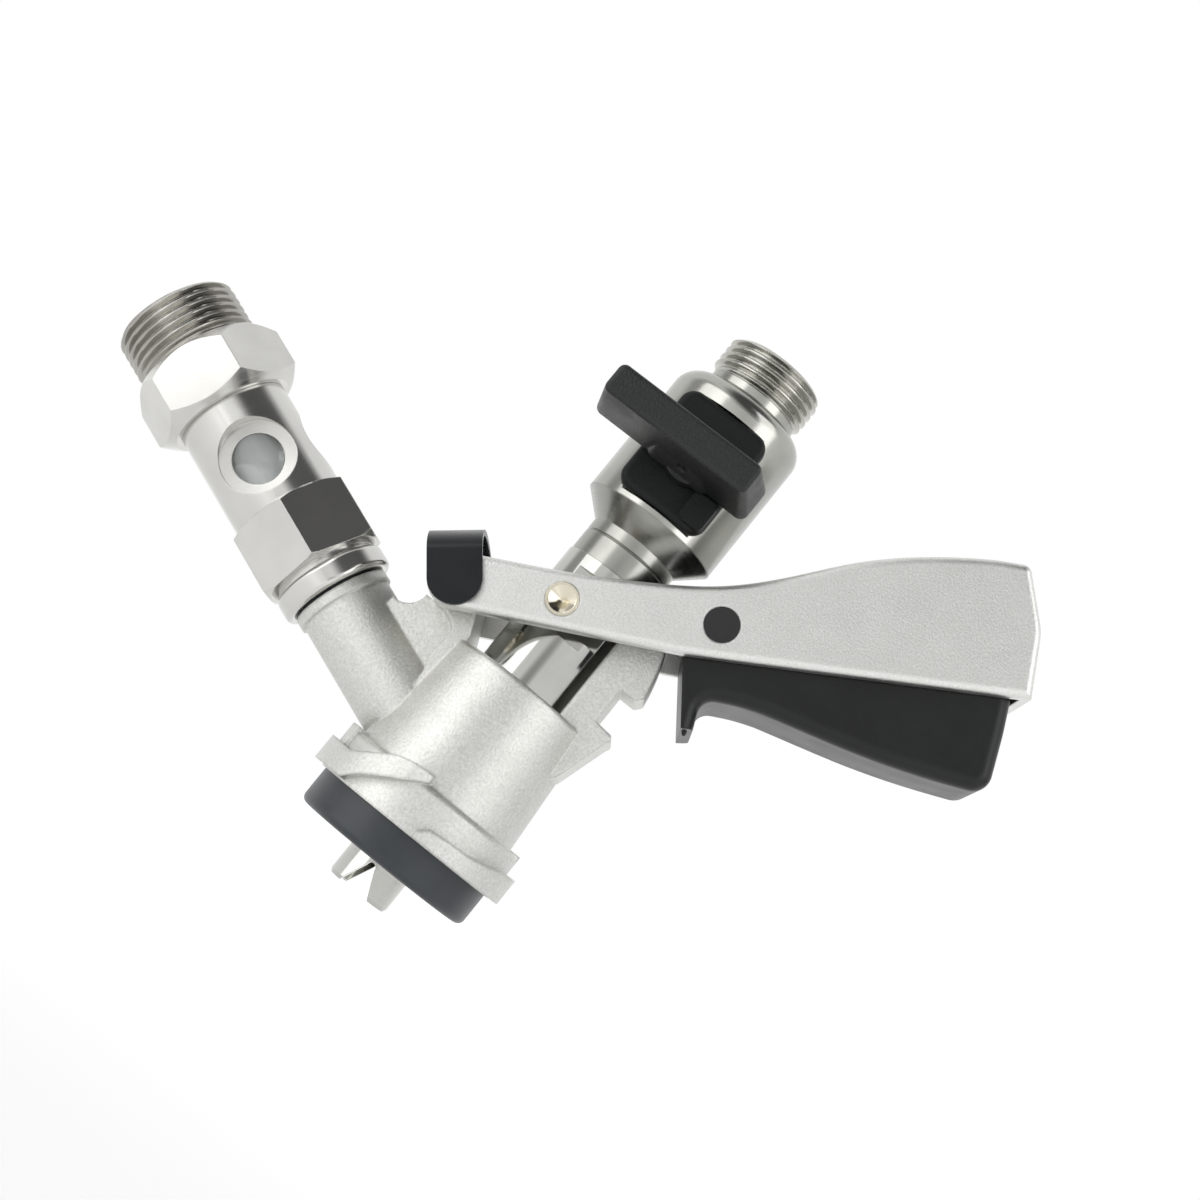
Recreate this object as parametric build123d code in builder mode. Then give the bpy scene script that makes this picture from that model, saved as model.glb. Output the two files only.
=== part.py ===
"""Keg coupler with a lever-driven probe, a gas inlet with sight glass and a ball shut-off valve.

Millimetres. The origin is the centre of the casting's keg-side face, +Z runs along the probe
towards the beer outlet, +X points towards the lever's handle, and the gas inlet leaves towards -X.
Rest is the lever up, the trigger free and the shut-off valve closed.
"""
import os
from math import cos, pi, radians, sin, sqrt, tan

from build123d import *

os.makedirs("parts", exist_ok=True)

# Fits
running_gap = 0.05
seat_gap = 0.03

# Casting
flange_r = 21.3
flange_h = 9.8
flange_edge = 0.9
barrel_base_r = 18.9
rim_r = 17.0
rim_z = 36.8
guide_len = 9.0
rim_recess_r = 12.3
rim_recess_depth = 3.2
chamber_r = 13.2
chamber_floor_z = 4.0
lug_r = 23.5
lug_tip_deg = 281.0
stop_block_r = 21.9
stop_block_width = 4.5
stop_block_low_z = 5.6
stop_block_top_z = 10.4
stop_block_deg = 204.0

# Body seal
seal_r = 20.4
seal_depth = 7.8
seal_round = 1.5
seal_bore_r = 10.2
seal_hub_r = 12.4

# Probe
tube_r = 7.0
tube_wall = 1.6
tube_tip_z = -15.2
fork_half_gap = 3.5
fork_depth = 6.6
slider_r = 10.5
slider_low_z = 17.0
slider_top_z = 66.0
beer_bore_r = 5.6
ball_seat_r = 3.6
check_ball_r = 4.8
check_ball_lift = 5.0
flat_half = 9.0
flat_low_z = 49.1
flat_top_z = 63.1
slot_depth_y = 6.9
slot_gap = 0.4
spigot_r = 8.0
spigot_len = 6.0
lip_seal_r = 9.0
lip_seal_h = 4.0

# Lever and hinge
hinge_x = -21.9
hinge_z = 44.5
lever_angle = 28.4
hinge_pin_r = 3.0
fork_half_out = 17.0
arm_thickness = 3.5
arm_half_h = 5.7
drive_pin_u = 21.54
drive_pin_w = -0.4
drive_head_r = 3.4
drive_pin_r = 3.0
trigger_pin_u = 53.3
trigger_pin_r = 3.6
roof_start_u = 51.0
roof_thickness = 2.4
handle_end_u = 115.2
handle_wall = 2.0

# Latch fin on the casting
ear_half = 9.0
ear_r = 5.5
web_half = 6.5
fin_half = 7.0
fin_corner = 0.8
fin_core_x = 8.0
fin_root_x = 16.6
fin_arc_r = 43.7
fin_top_z = 62.0
notch_low_z = 40.6
notch_top_z = 48.6
barb_lip = 1.4
wedge_foot_z = 26.9

# Trigger
trigger_half = 12.9
trigger_front_u = 46.9
trigger_wall = 2.2
trigger_edge = 2.8
latch_gap = 0.4
spring_wire = 0.9
spring_len = 4.0
spring_side_y = 4.7
spring_side_gap = 0.3
spring_pocket_r = 4.9
spring_leg_len = 11.5
spring_leg_slope = 22.8

# Shut-off valve
valve_r = 15.5
cone_low_z = slider_top_z + 8.1
valve_low_z = cone_low_z + 4.9
valve_top_z = valve_low_z + 33.0
valve_shoulder = 4.5
neck_r = 10.2
upper_neck_r = 10.5
outlet_plug_r = 9.0
outlet_thread_r = 11.4555
outlet_thread_z = valve_top_z + 2.3
outlet_top_z = outlet_thread_z + 8.3
outlet_bore_r = 6.5
stem_z = valve_low_z + 13.7
valve_ball_r = 9.0
valve_ball_bore_r = 5.0
cavity_r = 10.5
adapter_plug_r = 12.5
adapter_plug_len = 4.0
stem_r = 3.5
stem_front_y = -27.0
plate_seat_y = -13.0
plate_front_y = -16.0
plate_half_x = 10.3
plate_low_z = stem_z - 12.3
plate_high_z = stem_z + 12.6
plate_edge = 1.4
stop_tab_gap = 0.15
stop_tab_end_x = 10.1
stop_tab_low_z = stem_z - 11.1
stop_tab_rise = 2.5
knob_front_y = -33.0
knob_back_y = -19.0
knob_long_arm = 20.5
knob_short_arm = 13.6
knob_half_h = 3.3
knob_flare_long = 1.5
knob_flare_short = 2.0
knob_flare_h = 1.1
knob_hub_r = 5.9
knob_web_long = 8.8
knob_web_half_h = 5.3
knob_pin_r = 1.0

# Gas inlet, measured along its own axis from the probe's axis
gas_angle = 20.2
gas_root_z = 13.7
branch_r = 9.7
branch_end = 43.5
gas_bore_r = 4.6
gas_spigot_r = 7.4
gas_spigot_len = 9.0
washer_len = 0.5
washer_r = 9.1
collar_len = 5.1
collar_r = 12.0
lower_neck_r = 10.8
lower_neck_len = 0.6
lower_hex_af = 25.2
lower_hex_len = 15.2
lower_hex_turn = -4.0
sight_r = 11.9
barrel_end = 88.8
sight_bore_r = 8.0
window_at = 75.3
window_r = 5.45
window_face_r = 8.1
window_floor_h = 8.4
window_floor_rise = 0.2
window_step_deg = 110.0
glass_wall = 1.7
glass_len = 20.0
gas_seal_r = 5.4
gas_seal_len = 1.2
upper_hex_af = 29.1
upper_hex_foot_r = 13.2
upper_hex_foot_len = 2.8
upper_hex_shoulder_r = 14.2
upper_hex_shoulder_len = 3.0
upper_hex_end = 102.4
upper_hex_turn = 22.5
gas_thread_r = 13.22
gas_end = 114.3
gas_neck_r = 12.0
gas_neck_len = 0.9
check_pocket_r = 8.4
inlet_bore_r = 9.0
nipple_bore_r = 6.8
spider_low = 92.5
spider_top = 96.0
spider_port_at = 5.2
spider_port_r = 1.4
check_seat_r = 4.4
check_seat_at = 107.7
check_seat_h = 2.0
poppet_r = 6.4
poppet_h = 2.4
poppet_stem_r = 2.2

# Hinge cap
cap_wall = 1.3
cap_r = 5.5
cap_tilt = 101.0
cap_bend = 5.6
cap_rise = 6.8

# Places worked out from the sizes above
fork_half_in = fork_half_out - arm_thickness
guide_top_z = rim_z - rim_recess_depth
guide_low_z = guide_top_z - guide_len
hex_start = branch_end + washer_len + collar_len + lower_neck_len
hex_end = hex_start + lower_hex_len

gas_dir = Vector(-cos(radians(gas_angle)), 0, sin(radians(gas_angle)))
lever_plane = Plane(
    origin=(hinge_x, 0, hinge_z),
    x_dir=(cos(radians(lever_angle)), 0, sin(radians(lever_angle))),
    z_dir=(0, -1, 0),
)
side_view = Plane.XZ
gas_axis = Axis((0, 0, gas_root_z), gas_dir)
gas_section = Plane(
    origin=(0, 0, gas_root_z),
    x_dir=(sin(radians(gas_angle)), 0, cos(radians(gas_angle))),
    z_dir=(0, -1, 0),
)


def gas_plane(distance, turn=0.0):
    """Plane square to the gas axis at a distance from the probe's axis."""
    place = Vector(0, 0, gas_root_z) + gas_dir * distance
    return Plane(origin=place, x_dir=(0, -1, 0), z_dir=gas_dir).rotated((0, 0, turn))


def front_plane(y):
    """Plane that faces -Y at a given y, its x along +X and its y along +Z."""
    return Plane(origin=(0, y, 0), x_dir=(1, 0, 0), z_dir=(0, -1, 0))


def save(piece, node):
    piece.part.label = node
    export_step(piece.part, f"parts/{node}.step")


def ring(r_in, r_out, low, high):
    """Half section of a plain ring, for a revolve about the plane's vertical axis."""
    with Locations(((r_in + r_out) / 2, (low + high) / 2)):
        Rectangle(r_out - r_in, high - low)


# Casting
def fin_x(z, radius=fin_arc_r):
    """x of a point on an arc about the hinge."""
    return hinge_x + sqrt(radius**2 - (z - hinge_z) ** 2)


# turn from the tip, underside, upper side and reach of each section of a lug
lug_sections = (
    (0, 0.2, 1.5, 26.5),
    (5, 0.2, 3.2, 26.5),
    (16, 0.2, 3.7, 26.5),
    (30, 0.2, 3.9, 26.5),
    (52, 0.2, 5.4, 26.5),
    (75, 0.2, 6.0, 26.5),
    (105, 0.4, 5.8, 26.5),
    (125, 0.4, 5.6, 26.5),
    (131, 0.5, 6.6, 26.5),
    (139, 3.0, 8.2, 26.5),
    (151, 5.6, 10.7, 26.5),
    (160, 7.5, 11.5, 24.0),
    (170, 10.1, 11.6, 21.2),
)
lug_inner_r = barrel_base_r - 4.0

with BuildPart() as lug:
    for tip_turn, section_low, section_high, section_r in lug_sections:
        turn = radians(lug_tip_deg + tip_turn)
        section_plane = Plane(
            origin=(0, 0, 0),
            x_dir=(cos(turn), sin(turn), 0),
            z_dir=(sin(turn), -cos(turn), 0),
        )
        with BuildSketch(section_plane):
            ring(lug_inner_r, section_r, section_low, section_high)
    loft(ruled=True)
    with BuildSketch(Plane.XY):
        Circle(lug_r)
    extrude(amount=rim_z, mode=Mode.INTERSECT)

with BuildPart() as coupler_body:
    with BuildSketch(side_view):
        with BuildLine():
            Polyline(
                (0, 0),
                (flange_r, 0),
                (flange_r, flange_h - flange_edge),
                (flange_r - flange_edge, flange_h),
                (barrel_base_r, flange_h),
                (rim_r, rim_z),
                (0, rim_z),
                close=True,
            )
        make_face()
    revolve(axis=Axis.Z)
    rim_edge = coupler_body.edges().filter_by(GeomType.CIRCLE).group_by(Axis.Z)[-1]
    fillet(rim_edge, 1.2)

    # gas branch with its end bead
    with BuildSketch(gas_plane(2.0)):
        Circle(branch_r)
    extrude(amount=branch_end - 2.0)
    with BuildSketch(gas_plane(branch_end - 2.2)):
        Circle(branch_r + 0.6)
    extrude(amount=2.2)

    # web on the branch, its top a hollow curve
    web_foot_z = gas_root_z + 27.0 * tan(radians(gas_angle))
    with BuildSketch(side_view):
        with BuildLine():
            web_top = ThreePointArc((-31.4, 35.0), (-27.8, 36.0), (-26.2, 39.5))
            Polyline(
                web_top @ 1,
                (-rim_r, 39.5),
                (-rim_r + 2.0, web_foot_z - 8.0),
                (-30.5, web_foot_z + 2.0),
                web_top @ 0,
            )
        make_face()
    extrude(amount=web_half, both=True)

    # rib along the barrel and hinge ear
    with BuildSketch(side_view):
        with BuildLine():
            Polyline(
                (-13.2, 20.0),
                (-16.1, 24.0),
                (-17.2, 33.0),
                (-17.2, 36.7),
                (-18.7, 38.1),
                (-23.4, 39.7),
                (hinge_x - ear_r, hinge_z),
                (hinge_x + ear_r, hinge_z),
                (-13.6, rim_z + 1.6),
                close=True,
            )
        make_face()
        with Locations((hinge_x, hinge_z)):
            Circle(ear_r)
    extrude(amount=ear_half, both=True)

    # latch fin, its two barbs on one arc about the hinge
    hook_low_z = notch_top_z + barb_lip
    hook_mid_z = (hook_low_z + fin_top_z) / 2
    with BuildSketch(side_view) as fin_outline:
        with BuildLine():
            hook = ThreePointArc(
                (fin_x(fin_top_z), fin_top_z),
                (fin_x(hook_mid_z), hook_mid_z),
                (fin_x(hook_low_z), hook_low_z),
            )
            Polyline(
                hook @ 1,
                (fin_x(notch_top_z) - barb_lip, notch_top_z),
                (fin_root_x, notch_top_z),
                (fin_root_x, notch_low_z),
                (fin_x(notch_low_z - 0.4, fin_arc_r - 0.6), notch_low_z - 0.4),
                (fin_x(notch_low_z - 1.4), notch_low_z - 1.4),
                (21.0, 38.3),
                (18.3, 29.5),
                (barrel_base_r - 1.4, wedge_foot_z),
                (barrel_base_r - 5.0, wedge_foot_z - 4.0),
                (fin_core_x, rim_z - 6.0),
                (fin_core_x, fin_top_z),
                hook @ 0,
            )
        make_face()
        fillet(fin_outline.vertices().filter_by(lambda v: v.X > fin_root_x + 1.0), fin_corner)
    extrude(amount=fin_half, both=True)

    add(lug.part)
    add(lug.part.rotate(Axis.Z, 180))

    # stop blocks on the flange
    with BuildSketch(Plane.XY.offset(stop_block_low_z)):
        with PolarLocations((barrel_base_r + stop_block_r) / 2 - 0.5, 2, start_angle=stop_block_deg):
            Rectangle(stop_block_r - barrel_base_r + 1.0, stop_block_width)
    extrude(amount=stop_block_top_z - stop_block_low_z)

    # keg-side bore, gas chamber, guide bore and rim recess
    with BuildSketch(side_view):
        ring(0, seal_hub_r + seat_gap, -1.0, chamber_floor_z)
        ring(0, chamber_r, chamber_floor_z, guide_low_z)
        ring(0, slider_r + running_gap, guide_low_z, guide_top_z)
        ring(0, rim_recess_r, guide_top_z, fin_top_z + 1.0)
    revolve(axis=Axis.Z, mode=Mode.SUBTRACT)
    with BuildSketch(gas_plane(0)):
        Circle(gas_bore_r)
    extrude(amount=branch_end + 1.0, mode=Mode.SUBTRACT)
    with BuildSketch(gas_plane(branch_end - gas_spigot_len)):
        Circle(gas_spigot_r + seat_gap)
    extrude(amount=gas_spigot_len + 1.0, mode=Mode.SUBTRACT)

    # hinge bore and the groove of the upper seal
    with BuildSketch(front_plane(0)):
        with Locations((hinge_x, hinge_z)):
            Circle(hinge_pin_r + running_gap)
    extrude(amount=ear_half + 1.0, both=True, mode=Mode.SUBTRACT)
    upper_seal_z = guide_low_z + guide_len / 2
    upper_seal_wire = 1.3
    with BuildSketch(side_view):
        ring(slider_r - 0.5, slider_r + 2 * upper_seal_wire + 0.3, upper_seal_z - 1.5, upper_seal_z + 1.5)
    revolve(axis=Axis.Z, mode=Mode.SUBTRACT)
save(coupler_body, "coupler_body")

with BuildPart() as upper_seal:
    with BuildSketch(side_view):
        with Locations((slider_r + running_gap + upper_seal_wire, upper_seal_z)):
            Circle(upper_seal_wire)
    revolve(axis=Axis.Z)
save(upper_seal, "upper_seal")

# Body seal that meets the keg neck
with BuildPart() as body_seal:
    with BuildSketch(side_view):
        with BuildLine():
            Polyline(
                (seal_bore_r, chamber_floor_z - 1.0),
                (seal_hub_r, chamber_floor_z - 1.0),
                (seal_hub_r, 0),
                (seal_r, 0),
                (seal_r, -seal_depth),
                (seal_bore_r, -seal_depth),
                close=True,
            )
        make_face()
    revolve(axis=Axis.Z)
    fillet(body_seal.faces().sort_by(Axis.Z)[0].edges(), seal_round)
save(body_seal, "body_seal")

# Probe: forked tube and slider turned in one piece
pin_offset = Vector(drive_pin_u, drive_pin_w).rotate(Axis.Z, lever_angle)
pin_x = hinge_x + pin_offset.X
pin_z = hinge_z + pin_offset.Y
tube_bore_r = tube_r - tube_wall
lip_seal_z = -4.5

with BuildPart() as probe:
    with BuildSketch(side_view):
        with BuildLine():
            Polyline(
                (0, tube_tip_z),
                (tube_r - 0.4, tube_tip_z),
                (tube_r, tube_tip_z + 0.8),
                (tube_r, lip_seal_z + lip_seal_h),
                (lip_seal_r - 0.4, lip_seal_z + lip_seal_h),
                (lip_seal_r - 0.4, lip_seal_z + lip_seal_h + 1.0),
                (tube_r, lip_seal_z + lip_seal_h + 2.2),
                (tube_r, slider_low_z - 1.5),
                (slider_r - 1.0, slider_low_z),
                (slider_r, slider_low_z + 1.0),
                (slider_r, slider_top_z),
                (spigot_r, slider_top_z),
                (spigot_r, slider_top_z + spigot_len - 0.5),
                (spigot_r - 0.5, slider_top_z + spigot_len),
                (0, slider_top_z + spigot_len),
                close=True,
            )
        make_face()
    revolve(axis=Axis.Z)
    with BuildSketch(side_view):
        ring(0, tube_bore_r, tube_tip_z - 1.0, slider_low_z - 4.0)
        ring(0, ball_seat_r, slider_low_z - 4.0, slider_low_z)
        ring(0, beer_bore_r, slider_low_z, slider_top_z + spigot_len + 1.0)
    revolve(axis=Axis.Z, mode=Mode.SUBTRACT)

    # fork notch with a round root
    notch_root_z = tube_tip_z + fork_depth
    with BuildSketch(side_view):
        with BuildLine():
            Polyline(
                (-1.0, notch_root_z - 1.0),
                (-fork_half_gap, tube_tip_z),
                (-fork_half_gap, tube_tip_z - 1.0),
                (fork_half_gap, tube_tip_z - 1.0),
                (fork_half_gap, tube_tip_z),
                (1.0, notch_root_z - 1.0),
                close=True,
            )
        make_face()
        with Locations((0, notch_root_z - 1.0)):
            Circle(1.0)
    extrude(amount=tube_r + 1.0, both=True, mode=Mode.SUBTRACT)

    # flats for the fork and a cross slot for each drive pin
    slot_half_h = drive_pin_r + slot_gap
    for side in (-1, 1):
        with BuildSketch(front_plane(side * flat_half)):
            with Locations((0, (flat_low_z + flat_top_z) / 2)):
                Rectangle(2 * slider_r + 1.0, flat_top_z - flat_low_z)
        extrude(amount=-side * (slider_r - flat_half + 1.0), mode=Mode.SUBTRACT)
        with BuildSketch(front_plane(side * slot_depth_y)):
            with Locations((0, pin_z)):
                Rectangle(2 * slider_r + 1.0, 2 * slot_half_h)
        extrude(amount=-side * (slider_r - slot_depth_y + 1.0), mode=Mode.SUBTRACT)
save(probe, "probe")

with BuildPart() as lip_seal:
    with BuildSketch(side_view):
        with BuildLine():
            Polyline(
                (tube_r + seat_gap, lip_seal_z),
                (lip_seal_r - 0.8, lip_seal_z),
                (lip_seal_r, lip_seal_z + 1.0),
                (lip_seal_r, lip_seal_z + lip_seal_h - 1.0),
                (lip_seal_r - 0.8, lip_seal_z + lip_seal_h),
                (tube_r + seat_gap, lip_seal_z + lip_seal_h),
                close=True,
            )
        make_face()
    revolve(axis=Axis.Z)
save(lip_seal, "probe_lip_seal")

# Check ball on its seat, and the stop ring that keeps it
ball_rest_z = slider_low_z + sqrt(check_ball_r**2 - ball_seat_r**2) + seat_gap
with BuildPart() as check_ball:
    with Locations((0, 0, ball_rest_z)):
        Sphere(check_ball_r)
save(check_ball, "check_ball")

ball_stop_z = ball_rest_z + check_ball_r + check_ball_lift + 0.3
with BuildPart() as ball_stop:
    with BuildSketch(Plane.XY.offset(ball_stop_z)):
        Circle(beer_bore_r - seat_gap)
        Circle(beer_bore_r - 1.2, mode=Mode.SUBTRACT)
        Rectangle(2 * beer_bore_r - 1.2, 1.4)
    extrude(amount=3.0)
save(ball_stop, "ball_stop")

# Valve adapter: cone and neck that screw onto the probe
with BuildPart() as valve_adapter:
    with BuildSketch(side_view):
        with BuildLine():
            Polyline(
                (0, slider_top_z),
                (neck_r, slider_top_z),
                (neck_r, cone_low_z - 3.0),
                (neck_r - 0.4, cone_low_z - 2.7),
                (neck_r, cone_low_z - 2.4),
                (neck_r, cone_low_z),
                (valve_r, valve_low_z),
                (adapter_plug_r, valve_low_z),
                (adapter_plug_r, valve_low_z + adapter_plug_len),
                (0, valve_low_z + adapter_plug_len),
                close=True,
            )
        make_face()
    revolve(axis=Axis.Z)
    with BuildSketch(side_view):
        ring(0, spigot_r + seat_gap, slider_top_z - 1.0, slider_top_z + spigot_len + 0.5)
        ring(0, valve_ball_bore_r, slider_top_z, valve_low_z + adapter_plug_len + 1.0)
    revolve(axis=Axis.Z, mode=Mode.SUBTRACT)
save(valve_adapter, "valve_adapter")

# Valve body with the outlet's thread land
cavity_low_z = valve_low_z + adapter_plug_len
cavity_high_z = 2 * stem_z - cavity_low_z
stem_pocket_y = -11.2
collar_stem_r = 4.3

with BuildPart() as valve_body:
    with BuildSketch(side_view):
        ring(0, valve_r, valve_low_z, valve_top_z)
    revolve(axis=Axis.Z)
    fillet(valve_body.edges().filter_by(GeomType.CIRCLE).sort_by(Axis.Z)[-1], valve_shoulder)
    with BuildSketch(side_view):
        ring(0, adapter_plug_r + seat_gap, valve_low_z - 1.0, cavity_low_z)
        ring(0, cavity_r, cavity_low_z, cavity_high_z)
        ring(0, outlet_plug_r, cavity_high_z, valve_top_z + 1.0)
    revolve(axis=Axis.Z, mode=Mode.SUBTRACT)

    # flat for the knob plate, stem pocket and stem bore
    plate_mid_z = (plate_low_z + plate_high_z) / 2
    with BuildSketch(front_plane(plate_seat_y)):
        with Locations((0, plate_mid_z)):
            Rectangle(2 * valve_r, plate_high_z - plate_low_z + 0.4)
    extrude(amount=valve_r, mode=Mode.SUBTRACT)
    with BuildSketch(front_plane(0)):
        with Locations((0, stem_z)):
            Circle(collar_stem_r + 0.3)
    extrude(amount=-stem_pocket_y, mode=Mode.SUBTRACT)
    with BuildSketch(front_plane(0)):
        with Locations((0, stem_z)):
            Circle(stem_r + running_gap)
    extrude(amount=valve_r, mode=Mode.SUBTRACT)
save(valve_body, "valve_body")

with BuildPart() as outlet_nipple:
    with BuildSketch(side_view):
        with BuildLine():
            Polyline(
                (outlet_bore_r, cavity_high_z),
                (outlet_plug_r - seat_gap, cavity_high_z),
                (outlet_plug_r - seat_gap, valve_top_z),
                (upper_neck_r, valve_top_z),
                (upper_neck_r, outlet_thread_z - 0.5),
                (outlet_thread_r, outlet_thread_z),
                (outlet_thread_r, outlet_top_z - 0.7),
                (outlet_thread_r - 0.7, outlet_top_z),
                (outlet_bore_r, outlet_top_z),
                close=True,
            )
        make_face()
    revolve(axis=Axis.Z)
save(outlet_nipple, "outlet_nipple")

# Ball, its two seats and the stem
seat_reach = sqrt((valve_ball_r + seat_gap) ** 2 - (valve_ball_bore_r + 0.3) ** 2)
for node, side in (("lower_ball_seat", -1), ("upper_ball_seat", 1)):
    outer_end = stem_z + side * (cavity_high_z - stem_z)
    inner_end = stem_z + side * (seat_reach - 2.6)
    with BuildPart() as ball_seat:
        with BuildSketch(side_view):
            ring(valve_ball_bore_r, cavity_r - seat_gap, min(outer_end, inner_end), max(outer_end, inner_end))
        revolve(axis=Axis.Z)
        with Locations((0, 0, stem_z)):
            Sphere(valve_ball_r + seat_gap, mode=Mode.SUBTRACT)
    save(ball_seat, node)

tang_half = 1.4
tang_y = -6.6
with BuildPart() as valve_ball:
    with Locations((0, 0, stem_z)):
        Sphere(valve_ball_r)
        Cylinder(valve_ball_bore_r, 4 * valve_ball_r, rotation=(0, 90, 0), mode=Mode.SUBTRACT)
    with BuildSketch(front_plane(tang_y)):
        with Locations((0, stem_z)):
            Rectangle(2 * valve_ball_r, 2 * (tang_half + seat_gap))
    extrude(amount=valve_ball_r, mode=Mode.SUBTRACT)
save(valve_ball, "valve_ball")

collar_back_y = -9.2
collar_front_y = stem_pocket_y + 0.1
stem_groove_y = -12.2
stem_ring_wire = 0.6
stem_ring_r = stem_r + running_gap - stem_ring_wire
with BuildPart() as valve_stem:
    with BuildSketch(front_plane(tang_y - 0.1)):
        with Locations((0, stem_z)):
            Rectangle(6.4, 2 * tang_half)
    extrude(amount=tang_y - 0.1 - collar_back_y)
    with BuildSketch(front_plane(collar_back_y)):
        with Locations((0, stem_z)):
            Circle(collar_stem_r)
    extrude(amount=collar_back_y - collar_front_y)
    with BuildSketch(front_plane(collar_front_y)):
        with Locations((0, stem_z)):
            Circle(stem_r)
    extrude(amount=collar_front_y - stem_front_y)
    with Locations(Location((0, stem_groove_y, stem_z), (90, 0, 0))):
        Torus(stem_ring_r, stem_ring_wire, mode=Mode.SUBTRACT)
    with BuildSketch(Plane.XY.offset(stem_z)):
        with Locations((0, (knob_back_y + stem_front_y) / 2)):
            Circle(knob_pin_r + seat_gap)
    extrude(amount=stem_r + 1.0, both=True, mode=Mode.SUBTRACT)
save(valve_stem, "valve_stem")

with BuildPart() as stem_seal:
    with Locations(Location((0, stem_groove_y, stem_z), (90, 0, 0))):
        Torus(stem_ring_r, stem_ring_wire - seat_gap)
save(stem_seal, "stem_seal")

# Knob plate with its quarter-turn stop
plate_width = 2 * plate_half_x
tab_near_x = knob_half_h + knob_flare_h + stop_tab_gap
tab_high_z = stem_z - tab_near_x - 0.05
with BuildPart() as knob_plate:
    with BuildSketch(front_plane(plate_seat_y)):
        with Locations((0, plate_mid_z)):
            RectangleRounded(plate_width, plate_high_z - plate_low_z, 3.2)
    extrude(amount=plate_seat_y - plate_front_y)
    fillet(knob_plate.faces().sort_by(Axis.Y)[0].edges(), plate_edge)
    with BuildSketch(front_plane(plate_front_y + plate_edge)):
        with Locations(((tab_near_x + stop_tab_end_x) / 2, (stop_tab_low_z + tab_high_z) / 2)):
            RectangleRounded(stop_tab_end_x - tab_near_x, tab_high_z - stop_tab_low_z, 1.0)
    extrude(amount=stop_tab_rise + plate_edge)
    with BuildSketch(front_plane(plate_seat_y + 1.0)):
        with Locations((0, stem_z)):
            Circle(stem_r + 0.5)
    extrude(amount=8.0, mode=Mode.SUBTRACT)
save(knob_plate, "knob_plate")

# Knob: round hub, web and bar in one moulding
bar_mid_x = (knob_short_arm - knob_long_arm) / 2
bar_foot_x = bar_mid_x + (knob_flare_short - knob_flare_long) / 2
bar_foot_len = knob_long_arm + knob_short_arm + knob_flare_long + knob_flare_short
with BuildPart() as valve_knob:
    with BuildSketch(front_plane(knob_back_y + 1.0)):
        with Locations((bar_foot_x, stem_z)):
            RectangleRounded(bar_foot_len, 2 * (knob_half_h + knob_flare_h), 1.8)
    with BuildSketch(front_plane(knob_front_y)):
        with Locations((bar_mid_x, stem_z)):
            RectangleRounded(knob_long_arm + knob_short_arm, 2 * knob_half_h, 1.5)
    loft()
    fillet(valve_knob.faces().sort_by(Axis.Y)[0].edges(), 1.0)
    web_mid_x = (7.0 - knob_web_long) / 2
    with BuildSketch(front_plane(knob_back_y)):
        with Locations((web_mid_x, stem_z)):
            RectangleRounded(7.0 + knob_web_long, 2 * knob_web_half_h, 2.5)
    with BuildSketch(front_plane(knob_front_y + 6.0)):
        with Locations((web_mid_x, stem_z)):
            RectangleRounded(5.0 + knob_web_long, 2 * knob_half_h, 2.0)
    loft()
    with BuildSketch(front_plane(plate_front_y - 0.2)):
        with Locations((0, stem_z)):
            Circle(knob_hub_r)
    extrude(amount=plate_front_y - 0.2 - knob_back_y + 1.0)
    with BuildSketch(front_plane(plate_front_y + 1.0)):
        with Locations((0, stem_z)):
            Circle(stem_r + seat_gap)
    extrude(amount=plate_front_y + 1.0 - stem_front_y + 0.3, mode=Mode.SUBTRACT)
    with BuildSketch(Plane.XY.offset(stem_z)):
        with Locations((0, (knob_back_y + stem_front_y) / 2)):
            Circle(knob_pin_r + seat_gap)
    extrude(amount=2 * knob_web_half_h, both=True, mode=Mode.SUBTRACT)
save(valve_knob, "valve_knob")

with BuildPart() as knob_pin:
    with BuildSketch(Plane.XY.offset(stem_z)):
        with Locations((0, (knob_back_y + stem_front_y) / 2)):
            Circle(knob_pin_r)
    extrude(amount=knob_half_h + 0.4, both=True)
save(knob_pin, "knob_pin")

# Hinge pin and lever
with BuildPart() as hinge_pin:
    with BuildSketch(front_plane(0)):
        with Locations((hinge_x, hinge_z)):
            Circle(hinge_pin_r)
    extrude(amount=fork_half_out - 0.1, both=True)
    chamfer(hinge_pin.edges().filter_by(GeomType.CIRCLE), 0.4)
save(hinge_pin, "hinge_pin")

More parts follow.
